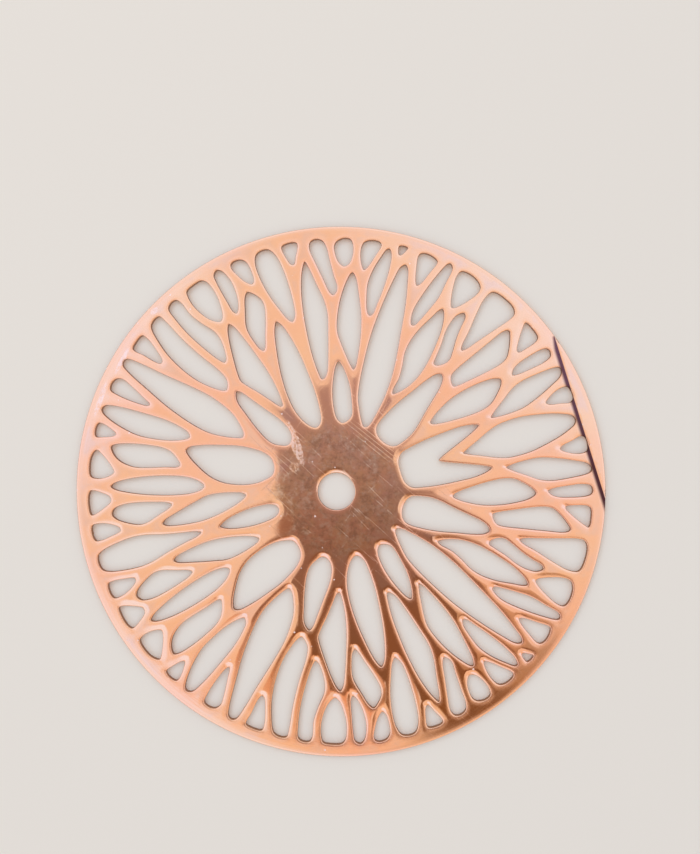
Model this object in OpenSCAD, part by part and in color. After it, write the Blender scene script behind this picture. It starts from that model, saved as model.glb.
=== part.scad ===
// Pierced copper disc: one flat round sheet, cut through by a branching
// lattice of rounded openings, with a plain round hole in the middle.
//
// Frame: millimetres. The axis of the centre hole is Z, the underside of the
// sheet lies on Z = 0 and the polished face looks along +Z.

/* [Sheet] */
// Diameter over the rim, mm
plate_d = 120; // [90:5:200]
// Thickness of the sheet, mm
plate_t = 1.2; // [0.8:0.1:3]
// Diameter of the plain centre hole, mm
bore_d = 8.5; // [4:0.5:16]

/* [Lattice] */
// Direction of the lattice's mirror line, degrees from +X
mirror_turn = 17; // [-180:1:180]

/* [Hidden] */

// The openings are laid out for this rim diameter and scale with plate_d.
layout_d = 120;
// Straight steps between two neighbouring points of an opening's outline.
outline_steps = 4;
// Sides of the rim circle and of the centre hole.
rim_sides = 240;
bore_sides = 96;

// ---------------------------------------------------------------------------
// Openings. Every point is [angle, radius]: degrees from the mirror line and
// millimetres from the centre. A smooth closed curve runs through the points.
// ---------------------------------------------------------------------------

// Openings that straddle the mirror line. Only one half is listed, from the
// line round to the line again; the other half is its mirror image.
centre_openings = [
    // root opening with a free spur pointing at the hub
    [[0, 24.2], [1, 24.8], [2, 25.8], [3.8, 28.3], [5.4, 31], [7, 33.9], [8.1, 35.3], [9.1, 34.5],
     [10.7, 31.7], [12, 27.5], [13.4, 22.8], [14.1, 19], [13.9, 17.3], [12, 16.3], [8, 15.5],
     [0, 15.2]],
    [[0, 55.9], [1, 55.5], [2, 53.8], [3, 51.5], [4.2, 48], [5.2, 44.7], [5.7, 41], [5.6, 39],
     [4.7, 36.5], [3, 33.7], [1, 30.8], [0, 29.9]],
    [[180, 57.4], [178.3, 57], [177.4, 55.7], [176.4, 52], [175.8, 48], [176, 45], [177, 41.3],
     [178.1, 36.8], [179, 33.5], [180, 32.4]],
    [[180, 27.9], [179, 27.3], [177.3, 25.6], [175.4, 22.5], [174.2, 19.8], [173.7, 17],
     [173.9, 15.8], [175, 14.7], [177, 14], [180, 13.7]],
];

// Root openings: the wide ones around the hub.
root_openings = [
    [[31.2, 35.5], [29.8, 35], [28.2, 33.2], [26.6, 30], [24.5, 26.5], [22, 23.6], [20.4, 21.4],
     [19.9, 18.9], [20.5, 17], [23, 16.1], [28, 15.5], [34, 15.5], [38.5, 16.1], [41, 17.2],
     [41.3, 18.5], [40.1, 21.2], [38, 25], [35.8, 28.6], [34.1, 32.4], [32.6, 34.8]],
    [[56, 53.5], [55.2, 52.8], [54.3, 50.2], [52.7, 45], [50.8, 38.3], [48.7, 32.7], [47, 28],
     [46, 23.8], [45.9, 19.5], [46.3, 17.2], [48, 16.1], [50.5, 16], [53.5, 17], [57, 19],
     [60, 21.8], [60.9, 25], [61, 30], [60.5, 36.5], [59.3, 43], [57.9, 49.5], [57, 52.7]],
    [[72.1, 29.5], [70.8, 28.9], [68.5, 26.9], [66, 24.3], [63.5, 20.9], [61.7, 18.3],
     [61.9, 17.2], [64.5, 16.1], [68, 15.6], [71.5, 16.1], [73.7, 17.3], [75.1, 19.8],
     [75.3, 22.3], [74.6, 25.5], [73.3, 28.5]],
    [[92.6, 40.9], [91.5, 40.1], [90, 37.4], [88.2, 32.8], [86.5, 27.4], [85.2, 23.2],
     [84.6, 19], [85, 16.8], [87.3, 15.6], [90.5, 15.2], [94, 15.7], [97.5, 17.1],
     [99.8, 19.2], [100.5, 21.6], [100, 25], [98.3, 29.7], [96, 35], [94, 39.3]],
    [[118.1, 32.2], [117.1, 31.5], [115.8, 28.5], [114, 24.8], [111.7, 21.4], [110.5, 18.8],
     [110.8, 17.2], [113, 15.8], [117, 15.2], [120.5, 15.4], [124, 16.6], [126.3, 18.1],
     [126.5, 20], [124.7, 23.7], [122.6, 27.5], [121.2, 30.3], [119.5, 31.7]],
    [[148.1, 35.7], [146.5, 35.2], [144, 32.2], [141, 28], [138, 24.3], [135.6, 20.5],
     [135, 18.4], [136, 16.8], [139, 15.7], [144, 15], [149, 15.1], [153.5, 16.3],
     [157, 18.1], [159, 20.7], [159.4, 23.5], [158.7, 26.3], [156.5, 29.3], [152.5, 32.7],
     [150, 34.7]],
];

// Branch openings: the long ones where the struts fork.
branch_openings = [
    [[11.6, 57.3], [10.4, 56.5], [9.4, 53.8], [8.2, 50], [7.3, 46.2], [7.3, 43.8], [7.9, 40.3],
     [8.7, 38.6], [9.8, 39.6], [12, 43], [13.5, 45.8], [13.9, 48.3], [13.5, 52], [12.8, 56],
     [12.3, 57.1]],
    [[17.4, 44.7], [16.2, 44.2], [14.2, 42.1], [12.7, 40], [12.3, 37.8], [12.9, 34.6],
     [14.6, 30.7], [16.5, 27.9], [18.2, 26.5], [19.3, 26.3], [20.8, 27.8], [21.8, 30.5],
     [22.1, 33], [21.5, 36.8], [20.3, 40.4], [18.8, 43.5]],
    [[25.9, 53], [24.8, 52.3], [22.5, 50.2], [21.2, 48.6], [20.9, 46.8], [21.5, 43.5],
     [22.8, 39.5], [24.2, 36.3], [25, 35.5], [26.8, 35.8], [28.3, 36.8], [28.6, 38], [28, 43],
     [27.4, 48], [27, 51.5], [26.5, 52.7]],
    [[35.1, 56.8], [34, 57.4], [29.3, 57.4], [28, 56.5], [27.8, 55], [28.5, 51.5], [29.7, 46.8],
     [30.8, 43.2], [31.5, 42.5], [32.3, 43.3], [33.4, 46.7], [34.8, 51], [35.5, 54.6]],
    [[37.4, 49.4], [36.5, 48.8], [35.9, 46.5], [34.9, 43.8], [33.3, 41], [32.4, 39.2],
     [32.8, 37.8], [34.6, 36.3], [35.8, 36.3], [36.4, 37.5], [37.5, 40.7], [38.6, 43.3],
     [39, 45.7], [38.6, 48.2]],
    [[42.8, 47.6], [41.7, 46.7], [40, 43.5], [38.8, 39.7], [37.8, 35.8], [37.5, 33],
     [37.9, 30.3], [39.2, 28.1], [41.5, 26.1], [43, 25.5], [43.9, 26.2], [44.1, 29.2],
     [45.2, 31.9], [46.7, 34.8], [46.9, 37.5], [46, 41], [44.3, 44.9], [43.5, 46.9]],
    [[46.3, 57.4], [45.5, 56.7], [45.3, 53], [45.2, 49.5], [45.8, 46.7], [47, 43], [47.9, 41.4],
     [48.8, 41.3], [49.7, 42.7], [50, 44.7], [49.4, 48.3], [48.3, 52.8], [47.2, 56.5],
     [46.8, 57.2]],
    [[60.6, 56.1], [59.9, 55], [59.6, 51.5], [59.9, 47.5], [60.7, 43.5], [61.5, 40.8],
     [62.4, 40.5], [63.3, 41.3], [64.2, 44.8], [64.4, 47.5], [63.6, 50.8], [62.2, 54],
     [61.2, 55.9]],
    [[68.7, 49.7], [67.8, 48.6], [66.5, 44.8], [65, 40.2], [64.2, 36], [64, 31.5], [64.3, 28.5],
     [65, 27.9], [66.5, 28.7], [69.5, 31.5], [71.5, 34], [72.7, 36.3], [72.7, 39.5], [71.7, 44],
     [70.2, 47.8], [69.2, 49.5]],
    [[79, 56.9], [77.8, 57.4], [76.3, 57], [75.4, 55.5], [74.7, 52.5], [73.6, 48.6],
     [72.8, 46.5], [73, 45.3], [73.9, 44.5], [74.9, 45.1], [76.7, 48.5], [78.2, 51.9],
     [79.4, 55.5]],
    [[80.9, 52.6], [80.1, 51.2], [78.7, 47.6], [76.7, 43.3], [75.9, 40.3], [76, 36], [76.6, 30],
     [77.4, 27.1], [79.3, 25.7], [80.5, 25.7], [81.6, 27.1], [83, 31.1], [83.5, 35.5],
     [83.5, 41], [82.9, 46.6], [81.8, 50.9]],
    [[91.9, 56.8], [90.3, 57.4], [88.7, 57.1], [87.4, 55.2], [86.5, 51.5], [86, 47],
     [85.9, 43.5], [86.3, 41], [87.5, 39.8], [88.7, 40.5], [90.5, 43.5], [92, 47.2],
     [92.8, 51.5], [92.7, 55]],
    [[97.2, 49.7], [96, 48.9], [94.5, 47], [94.3, 45.3], [95.5, 42.2], [97.5, 39.1],
     [99.5, 36.4], [100.4, 36], [101.3, 36.7], [101.9, 38.7], [102.1, 41.5], [101.7, 43.1],
     [100, 46], [98.3, 48.9]],
    [[101.6, 57.4], [100.7, 56.8], [99.9, 54.7], [99.7, 52.3], [100.3, 49.2], [101.5, 47],
     [102.4, 46.5], [103, 47.2], [103.1, 50], [103, 55], [102.7, 56.7]],
    [[105.9, 45.3], [105.1, 44.4], [104.3, 41], [103.5, 36], [102.9, 31.5], [103.1, 27.2],
     [104.2, 24.1], [105.2, 23], [106.5, 23.1], [109, 25.5], [111.5, 28.8], [113.5, 31.7],
     [114.1, 33.3], [113.4, 34.7], [111, 38.3], [108.5, 42.3], [106.8, 44.7]],
    [[115.8, 56.8], [114.5, 57.4], [113.1, 57.1], [112.6, 55.8], [112.7, 52.5], [111.8, 49],
     [110.5, 45.9], [110.5, 43.5], [111.8, 40.6], [113.1, 39.1], [114.1, 38.9], [115, 40.3],
     [116, 44.5], [116.5, 49.5], [116.3, 54]],
    [[121.4, 57], [119.8, 57.4], [118.5, 57], [118.3, 55], [118.5, 49.5], [118.2, 44],
     [117.3, 38.5], [117.5, 36], [118.9, 34.6], [120.5, 34.1], [121.9, 34.9], [123.6, 37.5],
     [124.7, 40.7], [124.9, 45], [124.2, 50], [123, 53.8], [122.1, 56.1]],
    [[131.7, 57.4], [130.8, 56.8], [130, 53.5], [129.1, 48], [127.6, 41.9], [126.2, 36.5],
     [125.9, 32.5], [126.6, 29.1], [128.7, 26.6], [131.3, 24.9], [133.3, 24.7], [135.4, 26.2],
     [137.7, 29.5], [138.6, 32.5], [138.3, 36.5], [136.8, 43], [134.9, 49.5], [133.5, 55],
     [132.7, 57]],
    [[143.9, 57.3], [142.8, 56.7], [141.9, 53.5], [141, 47], [140.5, 42.5], [140.7, 39],
     [141.6, 36.4], [143, 35.8], [144.4, 36.8], [146.2, 39.8], [147.2, 43.7], [147.5, 47.5],
     [146.6, 52], [145.4, 55.5], [144.6, 56.9]],
    [[152, 52.9], [151.2, 52], [150.1, 48.5], [149.3, 44], [149.1, 41], [149.8, 38.9],
     [151.7, 37.2], [153.6, 36.3], [154.5, 36.8], [155.2, 39.8], [156.1, 43.7], [156.4, 46.8],
     [155.5, 50], [153.9, 52]],
    [[162, 52], [161.1, 51.2], [159.8, 48], [158.5, 42.8], [157.7, 37.5], [157.7, 34.5],
     [158.8, 31.7], [160.7, 30.3], [162.2, 30.7], [163.8, 32.8], [164.5, 36.5], [164.3, 43],
     [163.5, 48.3], [162.7, 51.2]],
    [[169.2, 52], [167.8, 51.5], [166.8, 49.5], [166.4, 46.5], [166.5, 42], [166.9, 39],
     [167.7, 37.9], [168.6, 38.3], [170.8, 41.2], [172.6, 44.2], [172.8, 46], [171.9, 48.6],
     [170.4, 51.2]],
    [[173.8, 40.6], [172.8, 40.1], [170.5, 36.7], [167, 32], [165, 29.6], [164, 26.7],
     [163.7, 23.5], [164.1, 21.5], [165.5, 20.7], [167.5, 21.2], [170.5, 23], [172.7, 25.2],
     [174.7, 28.5], [175.6, 32], [175.3, 37], [174.6, 39.9]],
];

// Rim openings: the short windows just inside the rim.
rim_openings = [
    [[7.6, 56.8], [6, 57.2], [4.5, 56.9], [4, 56], [4.6, 54], [5.4, 51.5], [6.1, 51], [7, 52.1],
     [7.9, 54.8]],
    [[16.5, 57.3], [15.4, 56.8], [15, 55], [15.3, 51.8], [16, 48.3], [16.6, 47.4], [17.6, 48.1],
     [18.2, 49.8], [18.2, 52.5], [17.8, 56], [17.3, 57]],
    [[24.8, 56.9], [22.5, 57.2], [20.5, 56.9], [20, 56], [20.1, 53], [20.4, 51.5], [21, 51.4],
     [22.5, 52.9], [24.2, 55.4]],
    [[43.5, 56.9], [42.3, 57.4], [39.5, 57.2], [37.8, 56.2], [37.5, 54.8], [38.5, 51.8],
     [40.2, 49.2], [41, 48.9], [41.8, 49.8], [43.2, 52.9], [43.8, 55.5]],
    [[53.5, 56.9], [52.2, 57.4], [50, 57.1], [49.2, 56.5], [49.8, 53.8], [51, 50.4],
     [51.7, 49.9], [52.4, 50.8], [53.4, 54], [53.8, 56]],
    [[58.6, 57.2], [57.6, 57.5], [56.6, 57.3], [57, 56.2], [57.7, 55.3], [58.2, 55.3],
     [58.6, 56.3]],
    [[66.8, 56.5], [65.5, 57.3], [63.2, 57.3], [62.6, 56.6], [63.5, 54.2], [65, 51.3],
     [65.9, 50.5], [66.6, 51.5], [67.2, 54.3]],
    [[72.9, 56.7], [71.3, 57.4], [69.8, 57.2], [69.1, 55.8], [69.1, 53.3], [69.9, 51.5],
     [71.1, 51], [72.5, 52], [73.4, 54.2], [73.5, 55.7]],
    [[85.7, 56.9], [84.5, 57.4], [82.4, 57.3], [82, 56.7], [82.9, 54], [83.6, 52.4],
     [84.3, 52.5], [85.3, 54.5]],
    [[98.1, 57], [97.2, 57.4], [95.5, 57.1], [94.5, 56], [94.2, 53.5], [94.5, 51.4],
     [95.2, 50.9], [96.5, 51.9], [97.8, 54.4], [98.3, 56]],
    [[110, 57.1], [108, 57.4], [105.8, 57.2], [104.9, 56.2], [104.5, 53], [105.1, 49.8],
     [106.3, 47.4], [107.4, 46.9], [109, 48], [110.3, 50.5], [110.8, 53.8], [110.5, 56]],
    [[128.2, 57.1], [126.5, 57.4], [124.4, 57.1], [124.2, 55.8], [125.2, 52], [126.3, 49.8],
     [127.1, 49.7], [127.7, 51], [128, 54.2], [128.4, 56.3]],
    [[139.1, 57], [137.8, 57.4], [136.2, 56.9], [135.5, 55.5], [136, 53], [137.3, 49.2],
     [138.2, 47.2], [138.8, 47.5], [139.4, 50.3], [139.5, 55]],
    [[150.4, 56.9], [149, 57.4], [147.2, 57], [147, 56.1], [147.9, 53.4], [148.6, 52.4],
     [149.2, 52.7], [150.1, 55]],
    [[159.8, 56.8], [158, 57.3], [155, 57.1], [153.4, 56.1], [154.5, 54.3], [157, 52],
     [158.3, 51.4], [159.3, 52.3], [160.2, 55]],
    [[168.8, 56.8], [167, 57.3], [164, 57.2], [163, 56.6], [163.5, 54.2], [164.6, 52.2],
     [165.7, 52], [167.2, 53.5]],
    [[174.8, 56.8], [173, 57.3], [171.2, 56.9], [170.9, 55], [171.6, 52.3], [172.8, 50.6],
     [173.6, 50.6], [174.4, 52.7], [175, 55.7]],
];

// ---------------------------------------------------------------------------
// Curves
// ---------------------------------------------------------------------------

// [angle, radius] to [x, y].
function xy(p) = [p[1] * cos(p[0]), p[1] * sin(p[0])];

// The same outline on the other side of the mirror line.
function mirrored(loop) = [for (p = loop) [-p[0], p[1]]];

// A whole outline from the half that starts and ends on the mirror line.
function whole(half) =
    concat(half, [for (i = [len(half) - 2 : -1 : 1]) [-half[i][0], half[i][1]]]);

// Value at knot t on the straight line from a (at knot ta) to b (at knot tb).
function along(a, b, ta, tb, t) = a + (b - a) * (t - ta) / (tb - ta);

// Knot that follows t when the curve goes on from a to b.
function next_knot(t, a, b) = t + sqrt(norm(b - a));

// Point at fraction u between b and c on the smooth curve through a, b, c, d.
function curve_point(a, b, c, d, u) =
    let (
        tb = next_knot(0, a, b),
        tc = next_knot(tb, b, c),
        td = next_knot(tc, c, d),
        t = tb + (tc - tb) * u,
        ab = along(a, b, 0, tb, t),
        bc = along(b, c, tb, tc, t),
        cd = along(c, d, tc, td, t),
        abc = along(ab, bc, 0, tc, t),
        bcd = along(bc, cd, tb, td, t)
    )
    along(abc, bcd, tb, tc, t);

// Closed smooth curve through every point of a loop.
function smooth(points) =
    let (n = len(points))
    [
        for (i = [0 : n - 1])
            for (k = [0 : outline_steps - 1])
                curve_point(
                    points[(i + n - 1) % n],
                    points[i],
                    points[(i + 1) % n],
                    points[(i + 2) % n],
                    k / outline_steps
                )
    ];

// ---------------------------------------------------------------------------
// Sheet
// ---------------------------------------------------------------------------

// One opening, as a flat shape.
module opening(loop) {
    polygon(smooth([for (p = loop) xy(p) * plate_d / layout_d]));
}

// Every opening of the lattice, as flat shapes.
module lattice() {
    rotate(mirror_turn) {
        for (half = centre_openings) {
            opening(whole(half));
        }
        for (loop = concat(root_openings, branch_openings, rim_openings)) {
            opening(loop);
            opening(mirrored(loop));
        }
    }
}

// The pierced sheet.
module pierced_disc() {
    color("#e0a17c")
        linear_extrude(height = plate_t)
            difference() {
                circle(d = plate_d, $fn = rim_sides);
                circle(d = bore_d, $fn = bore_sides);
                lattice();
            }
}

pierced_disc();
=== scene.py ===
"""A pierced, mirror-polished copper disc: its looks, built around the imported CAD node.

The disc is one piece of sheet metal. Its outlines are read from the CAD node, and a finer
mesh is raised on them whose edges are polished round, as geometry. The disc's mesh and its
marks are worked out in mm; everything that Blender gets is in metres.
"""
import math

import bpy
import numpy as np
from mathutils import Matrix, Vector
from mathutils.geometry import delaunay_2d_cdt


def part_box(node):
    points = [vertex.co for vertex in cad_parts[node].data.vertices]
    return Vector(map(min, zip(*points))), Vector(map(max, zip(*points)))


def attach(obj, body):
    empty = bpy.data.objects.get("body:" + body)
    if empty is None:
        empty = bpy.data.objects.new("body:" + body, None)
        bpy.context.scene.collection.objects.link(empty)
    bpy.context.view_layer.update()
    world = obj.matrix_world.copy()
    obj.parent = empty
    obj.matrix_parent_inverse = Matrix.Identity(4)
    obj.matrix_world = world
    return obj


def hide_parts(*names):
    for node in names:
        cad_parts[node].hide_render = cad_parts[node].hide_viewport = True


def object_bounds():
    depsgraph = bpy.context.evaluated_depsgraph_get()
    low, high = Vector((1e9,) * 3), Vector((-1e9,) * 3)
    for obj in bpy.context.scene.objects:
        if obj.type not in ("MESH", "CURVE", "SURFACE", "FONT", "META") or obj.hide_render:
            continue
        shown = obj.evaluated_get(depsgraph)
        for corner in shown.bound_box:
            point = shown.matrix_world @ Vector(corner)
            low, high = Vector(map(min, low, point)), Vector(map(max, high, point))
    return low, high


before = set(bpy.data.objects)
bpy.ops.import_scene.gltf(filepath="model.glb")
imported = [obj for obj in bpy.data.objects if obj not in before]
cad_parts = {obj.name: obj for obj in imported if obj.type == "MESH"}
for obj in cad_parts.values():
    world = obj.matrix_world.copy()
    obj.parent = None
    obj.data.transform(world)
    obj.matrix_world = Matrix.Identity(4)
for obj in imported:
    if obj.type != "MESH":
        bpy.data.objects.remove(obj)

CAD_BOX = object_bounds()
MM = 0.001


def linked(name, data):
    """A new object in the scene."""
    piece = bpy.data.objects.new(name, data)
    bpy.context.scene.collection.objects.link(piece)
    return piece


# ---------------------------------------------------------------- the disc's mesh

DISC_NODE = "pierced_disc"

# the CAD node's outlines
MICRONS = 1e6         # to the metre
MM_PER_MICRON = 0.001
FACES_UP = 0.9        # the least z of a normal on the upper face
ROUNDNESS = 0.05      # mm by which a circle's radii may differ

# wear
CORNER_RADIUS = 0.16  # mm, of the edge itself
SAG_WIDTH = 1.5       # mm from an edge in to where the face is flat: polishing has worn it down
SAG_HIGH, SAG_LOW = 0.025, 0.08  # mm that an edge has worn down, high and low on the disc
SAG_RISE = (-20, 0)   # mm up the disc, from where it is still SAG_LOW to where it is SAG_HIGH
RIM_SHARE = 0.35      # of that wear, on the rim
DRAG_DEPTH = 0.32     # mm more, where the buffing wheel dragged over an opening's hub-side end
DRAG_WAY = (0.35, -0.94)  # the way the wheel went
DRAG_START = 0.3      # edges face this way by at least so much before they are dragged
DRAG_FALL = 1.5       # the power by which it dies away as an edge turns from facing outwards
HUB_RADIUS = 8        # mm, within which the hole's edge is dragged all the same
DEEPEST_SHARE = 0.45  # of the sheet's thickness, at most, from either face
FLATNESS = 1e-7       # mm below the flat that still counts as flat
FAR = SAG_WIDTH * 2   # mm; longer distances to an edge aren't told apart

# points along an outline
POINT_GAP = 0.75      # mm between them on a straight stretch
TURN_STEP = math.radians(16)  # and the turn after which a curve gets its next point
CURVE_STEPS = 6       # curve samples between two of the CAD outline's points
CIRCLE_POINTS = 96    # at least

# points on the face
CORNER_STEPS = 3      # rings of points round an edge's corner
SAG_STEPS = 4         # and over the part beside it that has worn down
OWN_SHARE = 0.97      # a ring's point keeps so much of its distance from its own outline
CLEARANCE = 0.05      # mm, and so much more than that from the others
FILL_GAP = 1.5        # mm between points on the flat
FILL_MARGIN = FILL_GAP / 3  # mm that they keep from the worn edges and the score
SCORE_ROWS = 5        # rows of points on the score's slope
SCORE_MARGIN = CORNER_RADIUS * 1.5  # mm that they keep from an edge
BATCH = 2000          # points measured at a time
SAME_POINT = 1e-6     # mm
WHOLE_HULL = 0        # Delaunay triangles over everything, the openings too

# a straight score across the rim at the right: it slopes in from the left and ends in a step
SCORE_START = (48.7, 34.9)
SCORE_END = (59.9, -1.4)
SCORE_WIDTH = 1.2     # mm, of the slope
SCORE_STEP = 0.25     # mm, of the steep side
SCORE_DEPTH = 0.03


def face_outlines(node):
    """The closed outlines of a flat node's upper face, in mm, with the metal on their left."""
    mesh = node.data
    corners = [tuple(round(c * MICRONS) for c in v.co.xy) for v in mesh.vertices]
    edges = set()
    for face in mesh.polygons:
        if face.normal.z > FACES_UP:
            ring = [corners[i] for i in face.vertices]
            edges.update(zip(ring, ring[1:] + ring[:1]))
    following = {a: b for a, b in edges if (b, a) not in edges}
    outlines = []
    while following:
        start, point = following.popitem()
        outline = [start]
        while point != start:
            outline.append(point)
            point = following.pop(point)
        outlines.append(np.array(outline) * MM_PER_MICRON)
    return outlines


def is_circle(points):
    """True for an outline whose points are all equally far from the disc's axis."""
    radii = np.hypot(points[:, 0], points[:, 1])
    return np.ptp(radii) < ROUNDNESS


def is_rim(outline, outlines):
    """True for the disc's outer edge."""
    return np.abs(outline).max() == max(np.abs(o).max() for o in outlines)


def circle_points(points):
    """The same circle with even, close points, inside the CAD's box, keeping its direction."""
    low, high = CAD_BOX
    box_radius = min(-low.x, high.x, -low.y, high.y) / MM
    radius = min(np.hypot(points[:, 0], points[:, 1]).mean(), box_radius)
    count = max(CIRCLE_POINTS, round(2 * math.pi * radius / POINT_GAP))
    turn = np.linspace(0, 2 * math.pi, count, endpoint=False)
    a, b = points[0], points[1]
    if a[0] * b[1] < a[1] * b[0]:
        turn = -turn
    return radius * np.column_stack([np.cos(turn), np.sin(turn)])


def curve_through(points):
    """Close samples of the smooth closed curve through the points (centripetal Catmull-Rom)."""
    before, here = np.roll(points, 1, axis=0), points
    after, beyond = np.roll(points, -1, axis=0), np.roll(points, -2, axis=0)

    def knot(a, b):
        return np.sqrt(np.linalg.norm(b - a, axis=1))[:, None]

    def along(a, b, at_a, at_b, t):
        return a + (b - a) * (t - at_a) / (at_b - at_a)

    k1 = knot(before, here)
    k2 = k1 + knot(here, after)
    k3 = k2 + knot(after, beyond)
    steps = []
    for step in range(CURVE_STEPS):
        t = k1 + (k2 - k1) * step / CURVE_STEPS
        first = along(before, here, 0, k1, t)
        middle = along(here, after, k1, k2, t)
        last = along(after, beyond, k2, k3, t)
        steps.append(along(along(first, middle, 0, k2, t), along(middle, last, k1, k3, t), k1, k2, t))
    return np.stack(steps, axis=1).reshape(-1, 2)


def respaced(points):
    """Points along a closed curve, closer together where it turns."""
    ahead = np.roll(points, -1, axis=0) - points
    length = np.linalg.norm(ahead, axis=1)
    heading = np.arctan2(ahead[:, 1], ahead[:, 0])
    turn = np.abs((np.roll(heading, -1) - heading + math.pi) % (2 * math.pi) - math.pi)
    turn = (turn + np.roll(turn, 1)) / 2
    weight = np.concatenate([[0], np.cumsum(length / POINT_GAP + turn / TURN_STEP)])
    count = math.ceil(weight[-1])
    wanted = np.linspace(0, weight[-1], count, endpoint=False)
    closed = np.vstack([points, points[:1]])
    return np.column_stack([np.interp(wanted, weight, closed[:, axis]) for axis in (0, 1)])


def fine_outline(points):
    """A CAD outline with more and better spaced points."""
    return circle_points(points) if is_circle(points) else respaced(curve_through(points))


def outline_edges(outlines):
    """Pairs of point numbers, each outline point with the next one, outline after outline."""
    edges, first = [], 0
    for outline in outlines:
        numbers = list(range(first, first + len(outline)))
        edges += zip(numbers, numbers[1:] + numbers[:1])
        first += len(outline)
    return edges


def metal_side(points):
    """Unit vectors from each outline point into the metal, which lies on the outline's left."""
    along = np.roll(points, -1, axis=0) - np.roll(points, 1, axis=0)
    along /= np.linalg.norm(along, axis=1)[:, None]
    return np.column_stack([-along[:, 1], along[:, 0]])


def nearest(points, outline):
    """Each point's distance to a closed outline, and the way the edge faces there.

    Far points get only a lower bound and no way.
    """
    low = outline.min(axis=0) - FAR
    high = outline.max(axis=0) + FAR
    gaps = np.full(len(points), FAR)
    ways = np.zeros((len(points), 2))
    chosen = np.flatnonzero(np.all((points > low) & (points < high), axis=1))
    step = np.roll(outline, -1, axis=0) - outline
    facing = -metal_side(outline)
    facing_next = np.roll(facing, -1, axis=0)
    for part in np.array_split(chosen, len(chosen) // BATCH + 1):
        offset = points[part][:, None] - outline[None]
        share = np.clip((offset * step).sum(axis=2) / (step * step).sum(axis=1), 0, 1)
        gap = np.linalg.norm(offset - share[:, :, None] * step, axis=2)
        rows = np.arange(len(part))
        best = gap.argmin(axis=1)
        share = share[rows, best][:, None]
        gaps[part] = np.minimum(gaps[part], gap[rows, best])
        ways[part] = facing[best] * (1 - share) + facing_next[best] * share
    return gaps, ways


def inside(points, outline):
    """True for each point within a closed outline."""
    x, y = points[:, :1], points[:, 1:]
    x1, y1 = outline.T
    x2, y2 = np.roll(outline, -1, axis=0).T
    spans = (y1 > y) != (y2 > y)
    rise = np.where(y2 == y1, 1.0, y2 - y1)
    crossing = x < x1 + (y - y1) / rise * (x2 - x1)
    return (spans & crossing).sum(axis=1) % 2 == 1


def in_metal(points, outlines, least):
    """The points that are on the metal, at least so far from every edge."""
    keep = np.ones(len(points), bool)
    for outline in outlines:
        keep &= nearest(points, outline)[0] >= least
        keep &= inside(points, outline) == is_rim(outline, outlines)
    return points[keep]


def faces_out(points, ways):
    """How squarely an edge faces away from the disc's middle: 1, or -1 for towards it."""
    radius = np.hypot(points[:, 0], points[:, 1])
    return (ways * points).sum(axis=1) / np.maximum(radius, 1)


def dragged(points, ways):
    """How hard the wheel dragged at an edge, from 0 to 1."""
    on_hub = np.hypot(points[:, 0], points[:, 1]) < HUB_RADIUS
    outward = np.where(on_hub, 1, faces_out(points, ways))
    facing = (ways @ np.array(DRAG_WAY) - DRAG_START) / (1 - DRAG_START)
    return np.clip(outward, 0, 1) ** DRAG_FALL * np.clip(facing, 0, 1)


def wear(points, ways, on_rim):
    """How deep each edge has worn down in use: not at all where it faces the disc's middle."""
    depth = np.interp(points[:, 1], SAG_RISE, (SAG_LOW, SAG_HIGH))
    depth = depth * np.clip(1 + faces_out(points, ways), 0, 1)
    return depth * RIM_SHARE if on_rim else depth


def drop(gaps, depth):
    """How far the face lies below the flat near an edge: a parabola, then an arc."""
    sag = depth * (1 - np.clip(gaps / SAG_WIDTH, 0, 1)) ** 2
    corner = 1 - np.clip(gaps / CORNER_RADIUS, 0, 1)
    return sag + CORNER_RADIUS * (1 - np.sqrt(1 - corner ** 2))


def score_line():
    """The score's start, its length, and its unit vectors along and across, towards the rim."""
    start, end = np.array(SCORE_START), np.array(SCORE_END)
    length = np.linalg.norm(end - start)
    along = (end - start) / length
    return start, length, along, np.array([-along[1], along[0]])


def beside_score(points):
    """Each point's distance from the score's steep side, positive towards the rim."""
    start, _, _, across = score_line()
    return (points - start) @ across


def score_drop(points):
    """How far the face lies below the flat in the score."""
    return SCORE_DEPTH * np.interp(beside_score(points), [-SCORE_WIDTH, 0, SCORE_STEP], [0, 1, 0])


def score_points():
    """Rows of points along the score, from rim to rim."""
    start, length, along, across = score_line()
    steps = np.arange(0, length, POINT_GAP / 2)[:, None] * along
    places = [*np.linspace(-SCORE_WIDTH, 0, SCORE_ROWS), SCORE_STEP / 2, SCORE_STEP]
    return np.vstack([start + steps + across * place for place in places])


def ring_gaps():
    """The distances from an edge at which the face gets a ring of points."""
    turns = [math.pi / 2 * step / CORNER_STEPS for step in range(1, CORNER_STEPS + 1)]
    corner = [CORNER_RADIUS * (1 - math.cos(turn)) for turn in turns]
    return corner + list(np.linspace(CORNER_RADIUS, SAG_WIDTH, SAG_STEPS + 1))[1:]


def edge_rings(outlines):
    """Rings of points inside each outline, without those that come too near to an edge."""
    rings = []
    for own, outline in enumerate(outlines):
        side = metal_side(outline)
        for gap in ring_gaps():
            ring = outline + side * gap
            keep = np.ones(len(ring), bool)
            for other, edge in enumerate(outlines):
                least = gap * OWN_SHARE if other == own else gap + CLEARANCE
                keep &= nearest(ring, edge)[0] >= least
            rings.append(ring[keep])
    return rings


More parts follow.
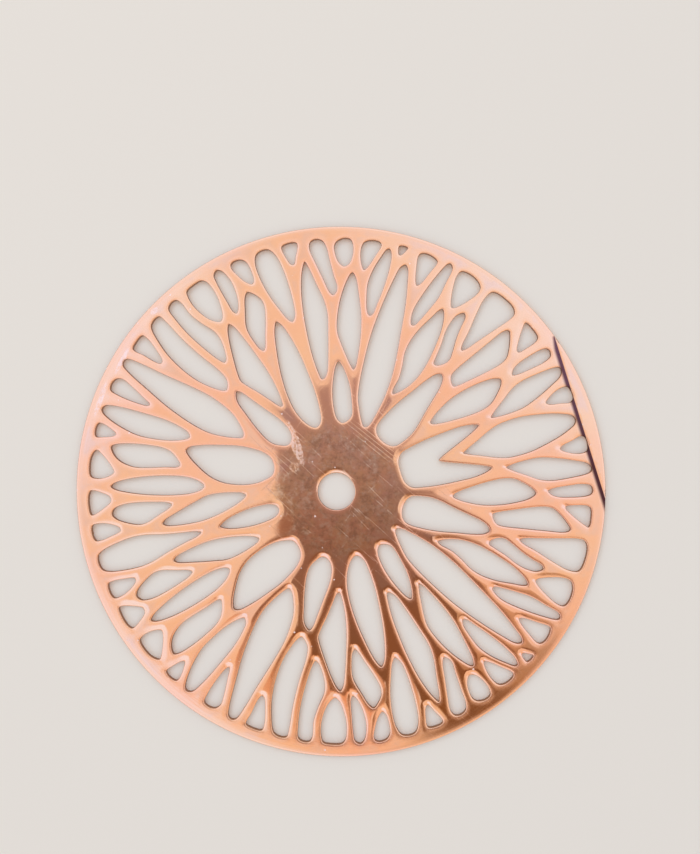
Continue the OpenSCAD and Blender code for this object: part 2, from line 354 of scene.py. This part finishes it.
def flat_points(outlines):
    """Even rows of points over the flat, clear of the worn edges and the score."""
    reach = max(np.abs(o).max() for o in outlines)
    rows = np.arange(-reach, reach, FILL_GAP * math.sqrt(3) / 2)
    columns = np.arange(-reach, reach, FILL_GAP)
    flat = np.array([(x + (i % 2) * FILL_GAP / 2, y) for i, y in enumerate(rows) for x in columns])
    flat = flat[np.abs(beside_score(flat)) > SCORE_WIDTH + FILL_MARGIN]
    return in_metal(flat, outlines, SAG_WIDTH + FILL_MARGIN)


def face_points(outlines):
    """Every point of the upper face: the outlines' own first, then those on the metal."""
    score = in_metal(score_points(), outlines, SCORE_MARGIN)
    return np.vstack(outlines + edge_rings(outlines) + [flat_points(outlines), score])


def face_triangles(points, outlines):
    """Delaunay triangles of the face, kept to the outlines, without those in the openings."""
    edges = outline_edges(outlines)
    made = delaunay_2d_cdt([Vector(p) for p in points], edges, [], WHOLE_HULL, SAME_POINT)
    made_points, _, triangles = made[:3]
    assert len(made_points) == len(points), "outlines cross"
    triangles = np.array(triangles)
    on_edge = np.flatnonzero((triangles < len(edges)).all(axis=1))
    middles = points[triangles[on_edge]].mean(axis=1)
    in_opening = np.zeros(len(triangles), bool)
    for outline in outlines:
        in_opening[on_edge] |= inside(middles, outline) != is_rim(outline, outlines)
    return triangles[~in_opening]


def worn_depths(points, outlines):
    """How far wear has lowered the upper face and the underside, and the distance to an edge."""
    upper = np.zeros(len(points))
    under = np.zeros(len(points))
    edge_gaps = np.full(len(points), FAR)
    for outline in outlines:
        gaps, ways = nearest(points, outline)
        on_rim = is_rim(outline, outlines)
        depth = wear(points, ways, on_rim)
        drag = 0 if on_rim else DRAG_DEPTH * dragged(points, ways)
        upper += drop(gaps, depth + drag)
        under += drop(gaps, depth)
        edge_gaps = np.minimum(edge_gaps, gaps)
    return upper + score_drop(points), under, edge_gaps


def shell_faces(points, outlines):
    """The upper face's triangles, the underside's and the walls between, as point numbers.

    The underside's points follow the upper face's, in the same order.
    """
    count = len(points)
    triangles = face_triangles(points, outlines).tolist()
    faces = [tuple(triangle) for triangle in triangles]
    faces += [(a + count, c + count, b + count) for a, b, c in triangles]
    faces += [(b, a, a + count, b + count) for a, b in outline_edges(outlines)]
    return faces


def build_disc():
    """The disc as one closed mesh: two faces with rounded edges, and the walls between."""
    outlines = [fine_outline(outline) for outline in face_outlines(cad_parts[DISC_NODE])]
    points = face_points(outlines)
    worn_upper, worn_under, edge_gaps = worn_depths(points, outlines)
    low, high = (corner.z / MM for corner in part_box(DISC_NODE))
    deepest = (high - low) * DEEPEST_SHARE
    upper = np.column_stack([points, high - np.minimum(worn_upper, deepest)])
    under = np.column_stack([points, low + np.minimum(worn_under, deepest)])
    mesh = bpy.data.meshes.new("polished_disc")
    mesh.from_pydata((np.vstack([upper, under]) * MM).tolist(), [], shell_faces(points, outlines))
    mesh.polygons.foreach_set("use_smooth", [True] * len(mesh.polygons))
    mesh.update()
    normals = np.array([v.normal for v in mesh.vertices])
    count = len(points)
    normals[:count][worn_upper < FLATNESS] = (0, 0, 1)
    normals[count:][worn_under < FLATNESS] = (0, 0, -1)
    mesh.normals_split_custom_set_from_vertices(normals.tolist())
    edge = mesh.attributes.new("edge_gap", "FLOAT", "POINT")
    edge.data.foreach_set("value", np.tile(edge_gaps, 2))
    return linked("polished_disc", mesh)


# ---------------------------------------------------------------- shader nodes

class Nodes:
    """Adds shader nodes to one tree, in one call each."""

    def __init__(self, tree):
        self.tree = tree

    def add(self, kind, settings=None, **inputs):
        """A new node; inputs are sockets or values, by the socket's name or its number as _0."""
        node = self.tree.nodes.new("ShaderNode" + kind)
        for name, value in (settings or {}).items():
            setattr(node, name, value)
        for name, value in inputs.items():
            number = name.strip("_")
            socket = node.inputs[int(number) if number.isdigit() else name.replace("_", " ")]
            if isinstance(value, bpy.types.NodeSocket):
                self.tree.links.new(value, socket)
            else:
                socket.default_value = value
        return node

    def math(self, operation, *values):
        """The result of one Math node."""
        return self.add("Math", {"operation": operation}, **numbered(values)).outputs[0]

    def times(self, first, *others):
        """The product of several values."""
        for other in others:
            first = self.math("MULTIPLY", first, other)
        return first

    def total(self, start, *shares):
        """A starting value plus each mark times its amount."""
        for mark, amount in shares:
            start = self.math("MULTIPLY_ADD", mark, amount, start)
        return start

    def vector(self, operation, *values):
        """The vector that one Vector Math node gives."""
        return self.add("VectorMath", {"operation": operation}, **numbered(values)).outputs["Vector"]

    def measure(self, operation, *values):
        """The number that one Vector Math node gives."""
        return self.add("VectorMath", {"operation": operation}, **numbered(values)).outputs["Value"]

    def parts(self, vector):
        """The x, y and z of a vector, or the red, green and blue of a colour."""
        return self.add("SeparateXYZ", None, Vector=vector).outputs[:3]

    def between(self, value, low, high, to_low=0.0, to_high=1.0):
        """value's place between low and high, eased at both ends."""
        node = self.add("MapRange", {"interpolation_type": "SMOOTHSTEP"}, Value=value,
                        From_Min=low, From_Max=high, To_Min=to_low, To_Max=to_high)
        return node.outputs[0]

    def noise(self, place, scale, detail, roughness=0.5):
        """A soft 3-D noise from 0 to 1, with so many features to the millimetre."""
        node = self.add("TexNoise", None, Vector=place, Scale=scale, Detail=detail, Roughness=roughness)
        return node.outputs[0]

    def mix(self, share, first, second):
        """Two colours mixed by a share from 0 to 1."""
        node = self.add("Mix", {"data_type": "RGBA"}, _0=share, _6=first, _7=second)
        return node.outputs[2]

    def cover(self, colour, share, over, most):
        """A colour under another one, which covers at most so much of it, where the share is 1."""
        return self.mix(self.times(share, most), colour, over)


def numbered(values):
    """Values as the inputs _0, _1 and so on."""
    return {f"_{i}": value for i, value in enumerate(values)}


def new_material(name):
    """A material without nodes, and the Nodes to fill it with."""
    material = bpy.data.materials.new(name)
    material.use_nodes = True
    material.node_tree.nodes.clear()
    return material, Nodes(material.node_tree)


def turned(nodes, place, degrees, along, across):
    """Coordinates turned to a direction, then stretched: along and across are features to the mm."""
    node = nodes.add("Mapping", {"vector_type": "TEXTURE"}, Vector=place,
                     Rotation=(0, 0, math.radians(degrees)), Scale=(1 / along, 1 / across, 1.0))
    return node.outputs[0]


def local(nodes, place, centre, degrees):
    """Distances in mm along and across a direction, from a point on the face."""
    node = nodes.add("Mapping", {"vector_type": "TEXTURE"}, Vector=place, Location=(*centre, 0.0),
                     Rotation=(0, 0, math.radians(degrees)))
    return nodes.parts(node.outputs[0])[:2]


def spot(nodes, place, centre, degrees, half_length, half_width):
    """1 in the middle of an oval on the face, easing to 0 at its edge."""
    along, across = local(nodes, place, centre, degrees)
    along = nodes.math("POWER", nodes.math("DIVIDE", along, half_length), 2.0)
    across = nodes.math("POWER", nodes.math("DIVIDE", across, half_width), 2.0)
    return nodes.between(nodes.math("ADD", along, across), 1.0, 0.2)


# ---------------------------------------------------------------- the copper

YELLOWER, ROSIER = (0.93, 0.53, 0.33, 1), (0.94, 0.50, 0.335, 1)
HAZE = (0.80, 0.52, 0.43, 1)
GOLDEN_FILM = (0.93, 0.58, 0.31, 1)
# brown tarnish over the hub that also stands in for the dark reflection there: partly painted
# reflection
BROWN_FILM_AND_REFLECTION = (0.52, 0.30, 0.19, 1)
DUST = (0.97, 0.76, 0.60, 1)
REDDISH = (0.98, 0.42, 0.20, 1)
SCUFFED = (0.95, 0.68, 0.56, 1)
SPECK = (0.98, 0.76, 0.66, 1)
# the pale pink of the painted highlights on the rim's left shoulder
RIM_HIGHLIGHT_PINK = (1.0, 0.80, 0.75, 1)
STAIN_HIGH, STAIN_LOW = (0.12, 0.045, 0.065, 1), (0.055, 0.012, 0.018, 1)
POLISHED = 0.03            # the roughness where there are no marks

# where marks begin and where they are full
UPPER_HALF = (0.5, 0.7)    # mm up from the underside
OFF_EDGE = (0.3, 1.4)      # mm from an edge
NEAR_EDGE = (1.3, 0.2)
HUB = (17.0, 12.0)         # mm from the disc's middle
SCRATCHED = (32.0, 17.0)
BUFFED = (54.5, 56.5)

# Marks of use and painted highlights, in mm from the disc's middle. A spot has a centre,
# degrees, and half its length and width.
WARM_SPOT = ((-11.5, -7.5), 60, 3.2, 2.0)  # a reddish patch at the hub's lower left
SCUFF_CENTRE = (-9.5, 11.3)
SCUFF_DEGREES = -69
SCUFF_SPOT = (SCUFF_CENTRE, SCUFF_DEGREES, 8.8, 1.9)
SCUFF_PATCH = ((-9.3, 5.6), 30, 2.6, 1.9)  # a lesser rub at the scuff's lower end
PATCH_SHARE = 0.82
# painted highlights: pale pink spots on the rim's shoulder at the left
RIM_HIGHLIGHT_SPOTS = (
    ((-41.8, 41.2), 45, 1.3, 0.8),
    ((-49.3, 29.8), 61, 4.0, 0.7),
    ((-54.3, 21.0), 70, 5.0, 0.7),
)
GRAIN_DEGREES = -40
RAKE_CENTRE = (8.2, 11.3)  # a bundle of scratches side by side
RAKE_DEGREES = -39
RAKE_SPOT = (RAKE_CENTRE, RAKE_DEGREES, 9.0, 2.4)
RAKE_GAP = 0.8
RAKE_WOBBLE = 0.8
SCRATCH_WIDTH = 0.065      # mm to each side
SCRATCHES = (  # degrees, gap and length in mm, chance, shift, depth
    (-45, 1.9, 17.0, 0.60, 3.0, 1.0),
    (-41, 1.6, 14.0, 0.50, 29.0, 0.9),
    (50, 3.1, 10.0, 0.50, 11.0, 0.6),
    (63, 2.7, 4.0, 0.30, 47.0, 0.5),
    (-20, 3.3, 5.0, 0.30, 71.0, 0.5),
)


def hazed(nodes, place, off_edge, colour):
    """The colour under a mauve haze, left on the parts of the struts that are still flat."""
    haze = nodes.between(nodes.noise(place, scale=0.12, detail=5.0, roughness=0.6), 0.45, 0.62)
    return nodes.cover(colour, nodes.times(haze, off_edge), HAZE, most=0.55)


def hub_tarnish_and_reflection(nodes, place, hub, colour):
    """The colour under the hub's golden film, brown film (and painted dark reflection) and dust, and
    the last two's marks.
    """
    golden = nodes.between(nodes.noise(place, scale=0.21, detail=7.0, roughness=0.68), 0.42, 0.60)
    colour = nodes.cover(colour, nodes.times(golden, hub), GOLDEN_FILM, most=0.55)
    moved = nodes.vector("ADD", place, (31, 17, 0))
    # the brown film: partly tarnish, partly a painted dark reflection over the hub
    brown_film_and_reflection = nodes.between(nodes.noise(moved, scale=0.38, detail=10.0, roughness=0.79), 0.43, 0.63)
    brown_film_and_reflection = nodes.times(brown_film_and_reflection, hub)
    colour = nodes.cover(colour, brown_film_and_reflection, BROWN_FILM_AND_REFLECTION, most=0.75)
    moved = nodes.vector("ADD", place, (-13, 29, 0))
    dust = nodes.between(nodes.noise(moved, scale=0.50, detail=10.0, roughness=0.85), 0.47, 0.62)
    dust = nodes.times(dust, hub)
    colour = nodes.cover(colour, dust, DUST, most=0.62)
    return nodes.cover(colour, spot(nodes, place, *WARM_SPOT), REDDISH, most=0.5), brown_film_and_reflection, dust


def scuff_mark(nodes, place):
    """A dry, flaky rub mark, denser towards its lower end."""
    streak = spot(nodes, place, *SCUFF_SPOT)
    down, _ = local(nodes, place, SCUFF_CENTRE, SCUFF_DEGREES)
    streak = nodes.times(streak, nodes.between(down, -9.0, 4.0, 0.80, 1.0))
    patch = spot(nodes, place, *SCUFF_PATCH)
    streak = nodes.math("MAXIMUM", streak, nodes.times(patch, PATCH_SHARE))
    flaky_place = turned(nodes, place, SCUFF_DEGREES, along=1.3, across=1.7)
    flakes = nodes.noise(flaky_place, scale=1.0, detail=10.0, roughness=0.85)
    return nodes.between(nodes.math("MULTIPLY_ADD", streak, 0.5, flakes), 0.88, 1.08)


def speck_marks(nodes, place):
    """Tiny dry spots, one in a few cells."""
    cells = nodes.add("TexVoronoi", None, Vector=place, Scale=0.42)
    chance = nodes.parts(cells.outputs["Color"])[0]
    size = nodes.between(chance, 0.30, 1.0, 0.0, 0.095)
    return nodes.math("LESS_THAN", cells.outputs["Distance"], size)


def painted_rim_highlights(nodes, place):
    """Painted highlights along the rim at the left: pale pink spots, broken up by noise."""
    rim_highlights = 0.0
    for highlight_spot in RIM_HIGHLIGHT_SPOTS:
        rim_highlights = nodes.math("MAXIMUM", rim_highlights, spot(nodes, place, *highlight_spot))
    broken = nodes.between(nodes.noise(place, scale=0.7, detail=4.0, roughness=0.7), 0.35, 0.60)
    return nodes.times(rim_highlights, broken)


def score_stain(nodes, place):
    """The score's dark purple stain, and the stain's colour, which darkens down the line.

    Its side on the slope is soft and the other one crisp, and it tapers to its upper end.
    """
    (x1, y1), (x2, y2) = SCORE_START, SCORE_END
    slant = math.degrees(math.atan2(y2 - y1, x2 - x1))
    down, beside = local(nodes, place, SCORE_START, slant)
    taper = nodes.between(down, -0.5, 3.5, 0.55, 0.0)
    soft_side = nodes.between(nodes.math("SUBTRACT", beside, taper), -1.3, -0.5)
    crisp_side = nodes.between(beside, 0.10, -0.04)
    upper_end = nodes.between(down, -0.3, 0.4)
    colour = nodes.mix(nodes.between(down, 0.0, 38.0), STAIN_HIGH, STAIN_LOW)
    return nodes.times(soft_side, crisp_side, upper_end), colour


def scratches(nodes, place, degrees, gap, length, chance, shift):
    """Straight, thin lines of different lengths in about one direction: 1 on a line, 0 off it.

    The face is cut into strips gap mm wide and cells length mm long, staggered from strip to
    strip; a share of the cells, the chance, holds one line each.
    """
    along, across = local(nodes, place, (shift, shift * 0.7), degrees)
    across = nodes.math("DIVIDE", across, gap)
    row = nodes.math("FLOOR", across)
    slide = nodes.add("TexWhiteNoise", {"noise_dimensions": "1D"}, W=row).outputs["Value"]
    along = nodes.math("ADD", nodes.math("DIVIDE", along, length), slide)
    cell = nodes.math("FLOOR", along)
    name = nodes.add("CombineXYZ", None, _0=row, _1=cell, _2=shift).outputs[0]
    luck = nodes.add("TexWhiteNoise", {"noise_dimensions": "3D"}, Vector=name).outputs["Color"]
    rise, lean, reach = nodes.parts(luck)
    from_middle = nodes.math("SUBTRACT", nodes.math("FRACT", along), 0.5)
    # each line lies 0.2 to 0.8 of the way across its strip, and leans a little
    height = nodes.math("MULTIPLY_ADD", rise, 0.6, 0.2)
    slant = nodes.times(from_middle, nodes.math("SUBTRACT", lean, 0.5))
    height = nodes.math("MULTIPLY_ADD", slant, 0.6, height)
    off = nodes.math("ABSOLUTE", nodes.math("SUBTRACT", nodes.math("FRACT", across), height))
    line = nodes.between(nodes.times(off, gap), SCRATCH_WIDTH, SCRATCH_WIDTH * 0.3)
    # half its length, as a share of the cell's: below nothing where the cell holds no line
    half = nodes.math("MULTIPLY_ADD", reach, 0.5 / chance, 0.5 - 0.5 / chance)
    ends = nodes.math("SUBTRACT", half, nodes.math("ABSOLUTE", from_middle))
    return nodes.times(line, nodes.between(ends, 0.0, 0.08))


def raked_scratches(nodes, place):
    """A bundle of scratches side by side, nearly straight."""
    _, across = local(nodes, place, RAKE_CENTRE, RAKE_DEGREES)
    wobble = nodes.noise(place, scale=0.05, detail=1.0)
    across = nodes.math("MULTIPLY_ADD", wobble, RAKE_WOBBLE, across)
    line = nodes.between(nodes.math("PINGPONG", across, RAKE_GAP / 2), 0.075, 0.02)
    return nodes.times(line, spot(nodes, place, *RAKE_SPOT))


def all_scratches(nodes, place, radius):
    """Every scratch on the face: sparse ones, mostly on the hub, and one raked bundle."""
    lines = 0.0
    for degrees, gap, length, chance, shift, depth in SCRATCHES:
        more = scratches(nodes, place, degrees, gap, length, chance, shift)
        lines = nodes.math("MAXIMUM", lines, nodes.times(more, depth))
    fading = nodes.between(nodes.noise(place, scale=0.16, detail=3.0), 0.35, 0.65, 0.30, 0.90)
    lines = nodes.times(lines, fading, nodes.between(radius, *SCRATCHED, 0.25, 1.0))
    return nodes.math("MAXIMUM", lines, raked_scratches(nodes, place))


def buffing_marks(nodes, x, y, radius):
    """Fine marks that run round the rim."""
    around = nodes.times(nodes.math("ARCTAN2", y, x), 6.0)
    place = nodes.add("CombineXYZ", None, _0=around, _1=radius).outputs[0]
    place = nodes.vector("MULTIPLY", place, (1.0, 2.6, 1.0))
    marks = nodes.noise(place, scale=1.0, detail=3.0)
    return nodes.times(marks, nodes.between(radius, *BUFFED))


def copper():
    """Mirror-polished copper sheet, hazed and scratched in use; painted highlights on the rim and a
    partly painted dark reflection on the hub.
    """
    material, nodes = new_material("polished_copper")
    place = nodes.add("TexCoord").outputs["Object"]
    place = nodes.vector("MULTIPLY", place, (1 / MM, 1 / MM, 1 / MM))
    x, y, z = nodes.parts(place)
    radius = nodes.measure("LENGTH", nodes.vector("MULTIPLY", place, (1, 1, 0)))
    edge = nodes.add("Attribute", {"attribute_name": "edge_gap"}).outputs["Fac"]
    on_top = nodes.between(z, *UPPER_HALF)
    off_edge = nodes.between(edge, *OFF_EDGE)
    near_edge = nodes.between(edge, *NEAR_EDGE)
    hub = nodes.times(nodes.between(radius, *HUB, 0.08, 1.0), off_edge)

    cloud = nodes.between(nodes.noise(place, scale=0.035, detail=2.0), 0.35, 0.65)
    colour = nodes.mix(cloud, YELLOWER, ROSIER)
    colour = hazed(nodes, place, off_edge, colour)
    # the hub's films and dust; the brown film darkens the hub, partly as a painted dark reflection
    colour, brown_film_and_reflection, dust = hub_tarnish_and_reflection(nodes, place, hub, colour)
    scuff = nodes.times(scuff_mark(nodes, place), on_top)
    colour = nodes.cover(colour, scuff, SCUFFED, most=0.8)
    specks = speck_marks(nodes, place)
    colour = nodes.cover(colour, specks, SPECK, most=0.8)
    # painted highlights on the rim at the left, pale pink and a little rough
    rim_highlights = nodes.times(painted_rim_highlights(nodes, place), on_top)
    colour = nodes.cover(colour, rim_highlights, RIM_HIGHLIGHT_PINK, most=0.6)
    stain, stain_colour = score_stain(nodes, place)
    stain = nodes.times(stain, on_top)
    colour = nodes.cover(colour, stain, stain_colour, most=0.97)

    lines = all_scratches(nodes, place, radius)
    grain_place = turned(nodes, place, GRAIN_DEGREES, along=0.10, across=5.0)
    grain = nodes.noise(grain_place, scale=1.0, detail=3.0)
    buffed = buffing_marks(nodes, x, y, radius)
    swell = nodes.noise(place, scale=0.10, detail=1.0)
    rough = nodes.total(
        POLISHED, (grain, 0.05), (near_edge, 0.15), (brown_film_and_reflection, 0.06), (dust, 0.08), (buffed, 0.10),
        (lines, 0.33), (stain, 0.15), (scuff, 0.40), (specks, 0.45), (rim_highlights, 0.30))
    height = nodes.total(
        0.0, (swell, 0.005), (grain, 0.0006), (buffed, 0.004), (lines, -0.003), (scuff, 0.004))
    bump = nodes.add("Bump", None, Height=height, Distance=MM, Strength=1.0)
    shader = nodes.add("BsdfPrincipled", None, Base_Color=colour, Metallic=1.0, Roughness=rough,
                       Normal=bump.outputs[0])
    nodes.add("OutputMaterial", None, Surface=shader.outputs[0])
    return material


# ---------------------------------------------------------------- the studio

CAMERA_PLACE = (0.00998, 0.0146, 0.1534)
CAMERA_TILT = math.radians(2.59)
LENS = 28.41          # mm, on a sensor 36 mm long
NEAR_CLIP = 0.005

FLOOR_REACH = 3.0     # from the middle to each side
FLOOR_GAP = 0.05      # mm under the disc
FLOOR_COLOUR = (0.69, 0.61, 0.50, 1)

# The room's light is warm, and warmer from the picture's lower side. It is cool from high on
# the sides listed: the way to the side, and how far a ray leans that way where the cool light
# starts and where it is full. Ranges are of a ray's y or of its height, from start to full.
WARM_LIGHT = (1.0, 0.93, 0.86, 1)
LOWER_SIDE_LIGHT = (1.0, 0.84, 0.68, 1)
COOL_LIGHT = (1.05, 1.28, 1.70, 1)
LIGHT_FROM_BELOW = (0.34, 0.28, 0.25, 1)
COOL_SIDES = (
    ((0.75, 0.65, 0.0), 0.10, 0.31),
    ((-0.85, 0.50, 0.0), 0.28, 0.36),
    ((-0.70, -0.70, 0.0), 0.40, 0.46),
)
LOWER_SIDE = (-0.10, -0.40)
COOL_HEIGHTS = (0.35, 0.60)
BELOW = (-0.45, -0.90)
DIM_HEIGHTS = (0.05, 0.45)
DIM, BRIGHT = 0.72, 1.0
KEY_PLACE = (-0.35, 0.45, 0.6)
KEY_SIZE = 0.4
KEY_POWER = 1.0       # watts

# Cards over the disc: name, height, the colours at the lowest and the highest edge, the
# feather, and the outline within which each one shows, in mm from the disc's middle.
PHONE_HEIGHT = 0.156  # just above the lens
BODY_HEIGHT = 0.45
HAND_HEIGHT = BODY_HEIGHT * 1.03  # behind the arm
CARDS = (
    ("phone_card", PHONE_HEIGHT, (0.28, 0.18, 0.13), (0.50, 0.40, 0.41), 0.03,
     [(-10.5, -25), (19, -21), (22.5, -6), (21.5, 2), (15, 8), (13, 20), (11.5, 27),
      (-3, 23.9), (-13.5, 20.6), (-13.5, -11)]),
    ("arm_card", BODY_HEIGHT, (0.25, 0.115, 0.035), (0.265, 0.155, 0.105), 0.12,
     [(-8, -8), (25, -6), (29, -24), (30, -40), (43, -46), (50, -50), (38, -63),
      (25, -56), (16, -46), (0, -46), (-12, -41), (-16, -33), (-9, -27)]),
    ("hand_card", HAND_HEIGHT, (0.89, 0.55, 0.36), (0.74, 0.45, 0.29), 0.13,
     [(-19, -32), (-8, -30), (4, -40), (12, -48), (8, -54), (-12, -53), (-19, -43)]),
    ("sleeve_card", HAND_HEIGHT, (0.36, 0.20, 0.08), (0.84, 0.65, 0.46), 0.13,
     [(14, -6), (30, -17), (45, -28), (54, -34), (55, -44), (46, -56), (30, -64), (20, -62)]),
)


def add_camera():
    """Straight above the disc, a little to the upper right of its middle."""
    data = bpy.data.cameras.new("camera")
    data.lens = LENS
    data.clip_start = NEAR_CLIP
    camera = linked("camera", data)
    camera.location = CAMERA_PLACE
    camera.rotation_euler = (0, CAMERA_TILT, 0)
    bpy.context.scene.camera = camera


def floor_material():
    """A pale matt surface, see-through from below."""
    material, nodes = new_material("pale_floor")
    diffuse = nodes.add("BsdfDiffuse", None, Color=FLOOR_COLOUR)
    clear = nodes.add("BsdfTransparent")
    back = nodes.add("NewGeometry").outputs["Backfacing"]
    both = nodes.add("MixShader", None, _0=back, _1=diffuse.outputs[0], _2=clear.outputs[0])
    nodes.add("OutputMaterial", None, Surface=both.outputs[0])
    return material


def add_floor():
    """A plain pale floor just under the disc."""
    mesh = bpy.data.meshes.new("floor")
    sides = ((-1, -1), (1, -1), (1, 1), (-1, 1))
    corners = [(x * FLOOR_REACH, y * FLOOR_REACH, -FLOOR_GAP * MM) for x, y in sides]
    mesh.from_pydata(corners, [], [(0, 1, 2, 3)])
    mesh.materials.append(floor_material())
    floor = linked("floor", mesh)
    floor.visible_glossy = False


def mirrored(x, y, height):
    """Where a card at a height must be so that the camera sees it in the disc at (x, y) mm."""
    reach = 1 + height / CAMERA_PLACE[2]
    return tuple(c + (p * MM - c) * reach for c, p in zip(CAMERA_PLACE, (x, y)))


def card_mesh(name, height, feather, outline):
    """A flat card with its full cover inside its outline and none at the feather's outer edge."""
    middle = np.mean(outline, axis=0)
    corners = []
    for size in (1 - feather, 1 + feather):
        for point in outline:
            x, y = middle + (np.array(point) - middle) * size
            corners.append((*mirrored(x, y, height), height))
    count = len(outline)
    faces = [tuple(range(count))]
    for a in range(count):
        b = (a + 1) % count
        faces.append((a, b, b + count, a + count))
    mesh = bpy.data.meshes.new(name)
    mesh.from_pydata(corners, [], faces)
    cover = mesh.attributes.new("cover", "FLOAT", "POINT")
    cover.data.foreach_set("value", [1.0] * count + [0.0] * count)
    return mesh


def card_material(name, mesh, near, far):
    """A glow from near, at the card's lowest edge, to far, at its highest, clear off its cover."""
    material, nodes = new_material(name)
    _, up, _ = nodes.parts(nodes.add("TexCoord").outputs["Object"])
    heights = [corner.co.y for corner in mesh.vertices]
    colour = nodes.mix(nodes.between(up, min(heights), max(heights)), (*near, 1), (*far, 1))
    glow = nodes.add("Emission", None, Color=colour, Strength=1.0)
    clear = nodes.add("BsdfTransparent")
    share = nodes.add("Attribute", {"attribute_name": "cover"}).outputs["Fac"]
    both = nodes.add("MixShader", None, _0=share, _1=clear.outputs[0], _2=glow.outputs[0])
    nodes.add("OutputMaterial", None, Surface=both.outputs[0])
    return material


def add_card(name, height, near, far, feather, outline):
    """A card above the disc that is seen only in reflections, within its outline.

    It fades out over a feather of its size inside and outside the outline.
    """
    mesh = card_mesh(name, height, feather, outline)
    mesh.materials.append(card_material(name, mesh, near, far))
    card = linked(name, mesh)
    card.visible_camera = False
    card.visible_diffuse = False
    card.visible_shadow = False


def add_world():
    """Soft light from all sides, dimmer near the horizon."""
    world = bpy.data.worlds.new("studio")
    bpy.context.scene.world = world
    world.use_nodes = True
    world.node_tree.nodes.clear()
    nodes = Nodes(world.node_tree)
    way = nodes.add("TexCoord").outputs["Generated"]
    _, y, height = nodes.parts(way)
    coolness = 0.0
    for side, start, full in COOL_SIDES:
        lean = nodes.measure("DOT_PRODUCT", way, side)
        coolness = nodes.math("MAXIMUM", coolness, nodes.between(lean, start, full))
    coolness = nodes.times(coolness, nodes.between(height, *COOL_HEIGHTS))
    colour = nodes.mix(nodes.between(y, *LOWER_SIDE), WARM_LIGHT, LOWER_SIDE_LIGHT)
    colour = nodes.mix(coolness, colour, COOL_LIGHT)
    colour = nodes.mix(nodes.between(height, *BELOW), colour, LIGHT_FROM_BELOW)
    strength = nodes.between(height, *DIM_HEIGHTS, DIM, BRIGHT)
    back = nodes.add("Background", None, Color=colour, Strength=strength)
    nodes.add("OutputWorld", None, Surface=back.outputs[0])


def add_key_light():
    """A soft square light aimed at the disc."""
    data = bpy.data.lights.new("key_light", "AREA")
    data.size = KEY_SIZE
    data.energy = KEY_POWER
    light = linked("key_light", data)
    light.location = KEY_PLACE
    light.rotation_euler = (-Vector(KEY_PLACE)).to_track_quat("-Z", "Y").to_euler()
    light.visible_glossy = False


disc = build_disc()
disc.data.materials.append(copper())
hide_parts(DISC_NODE)
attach(disc, "root")

add_camera()
add_floor()
add_world()
for card_values in CARDS:
    add_card(*card_values)
add_key_light()
bpy.context.scene.view_settings.view_transform = "Standard"
